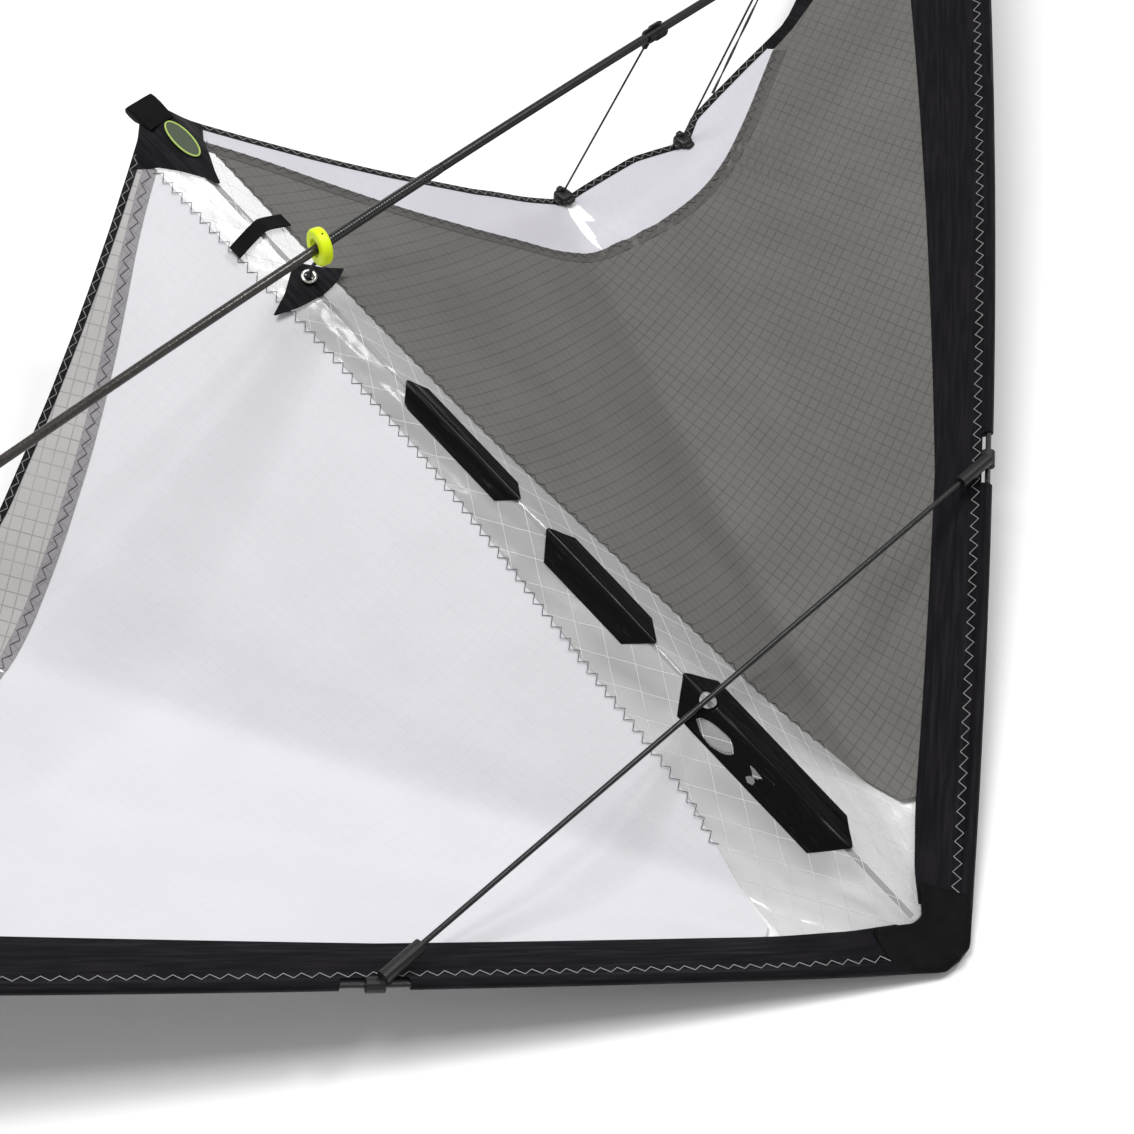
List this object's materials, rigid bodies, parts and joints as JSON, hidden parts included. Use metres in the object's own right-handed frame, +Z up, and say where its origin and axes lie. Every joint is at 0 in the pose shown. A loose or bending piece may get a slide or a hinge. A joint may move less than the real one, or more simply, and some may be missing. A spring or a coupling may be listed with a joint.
{
  "type": "stunt kite",
  "caption": "Delta stunt kite lying frame side up: bowed leading edges, spine, two spreaders, swinging standoffs, billowed two-tone sail with a clear centre band.",
  "frame": {"origin": "centre of the bounding box, on the floor the kite rests on", "axes": "+X towards the right wing tip, +Y from the tail to the nose, +Z up, frame side up"},
  "size_m": [1.33, 0.553, 0.1405],
  "materials": {
    "carbon": "satin pultruded carbon",
    "braided_sleeve": "woven carbon ferrule",
    "film": "clear scrim-reinforced film",
    "white_ripstop": "ripstop nylon",
    "light_grey_ripstop": "ripstop with dark grid",
    "grey_ripstop": "ripstop nylon",
    "dacron": "resinated polyester cloth",
    "gloss_tape": "glossy laminate",
    "webbing": "ribbed webbing",
    "moulding": "satin moulded rubber",
    "yellow_moulding": "fluorescent moulded plastic",
    "metal": "nickel-plated eyelet",
    "line": "braided line"
  },
  "bodies": {
    "kite": {"nose_patch": "dacron", "film_panel": "film", "spine_rod": "carbon", "spine_strip_1": "gloss_tape", "spine_strip_2": "gloss_tape", "spine_strip_3": "gloss_tape", "centre_patch": "dacron", "eyelet": "metal", "tail_patch": "dacron", "webbing_tab": "webbing", "tail_cap": "webbing", "upper_spreader": "carbon", "lower_spreader_left": "carbon", "lower_spreader_right": "carbon", "spreader_ferrule": "braided_sleeve", "centre_t": "yellow_moulding", "centre_tie": "line", "le_sleeve_left": "dacron", "le_rod_left": "carbon", "tip_nock_left": "moulding", "main_panel_left": "grey_ripstop", "te_strip_left": "white_ripstop", "te_hem_left": "dacron", "tip_patch_left": "dacron", "tension_line_left": "line", "upper_connector_left": "moulding", "lower_connector_left": "moulding", "te_fitting_left_inner": "moulding", "te_fitting_left_outer": "moulding", "le_sleeve_right": "dacron", "le_rod_right": "carbon", "tip_nock_right": "moulding", "main_panel_right": "white_ripstop", "te_strip_right": "light_grey_ripstop", "te_hem_right": "dacron", "tip_patch_right": "dacron", "tension_line_right": "line", "upper_connector_right": "moulding", "lower_connector_right": "moulding", "te_fitting_right_inner": "moulding", "te_fitting_right_outer": "moulding"},
    "standoff_left_inner_arm": {"c_clip_left_inner": "moulding", "standoff_left_inner": "carbon"},
    "standoff_left_outer_arm": {"c_clip_left_outer": "moulding", "standoff_left_outer": "carbon"},
    "standoff_right_inner_arm": {"c_clip_right_inner": "moulding", "standoff_right_inner": "carbon"},
    "standoff_right_outer_arm": {"c_clip_right_outer": "moulding", "standoff_right_outer": "carbon"}
  },
  "joints": [
    {"name": "standoff_left_inner_swing", "type": "hinge", "parent": "kite", "child": "standoff_left_inner_arm", "pos_m": [-0.2195, -0.11853, 0.12526], "axis": [-0.9981, -0.0153, -0.0596], "range_deg": [0, 290]},
    {"name": "standoff_left_outer_swing", "type": "hinge", "parent": "kite", "child": "standoff_left_outer_arm", "pos_m": [-0.313, -0.12027, 0.11849], "axis": [-0.9962, -0.0217, -0.0848], "range_deg": [0, 290]},
    {"name": "standoff_right_inner_swing", "type": "hinge", "parent": "kite", "child": "standoff_right_inner_arm", "pos_m": [0.2195, -0.11853, 0.12526], "axis": [-0.9981, 0.0153, 0.0596], "range_deg": [0, 290]},
    {"name": "standoff_right_outer_swing", "type": "hinge", "parent": "kite", "child": "standoff_right_outer_arm", "pos_m": [0.313, -0.12027, 0.11849], "axis": [-0.9962, 0.0217, 0.0848], "range_deg": [0, 290]}
  ]
}
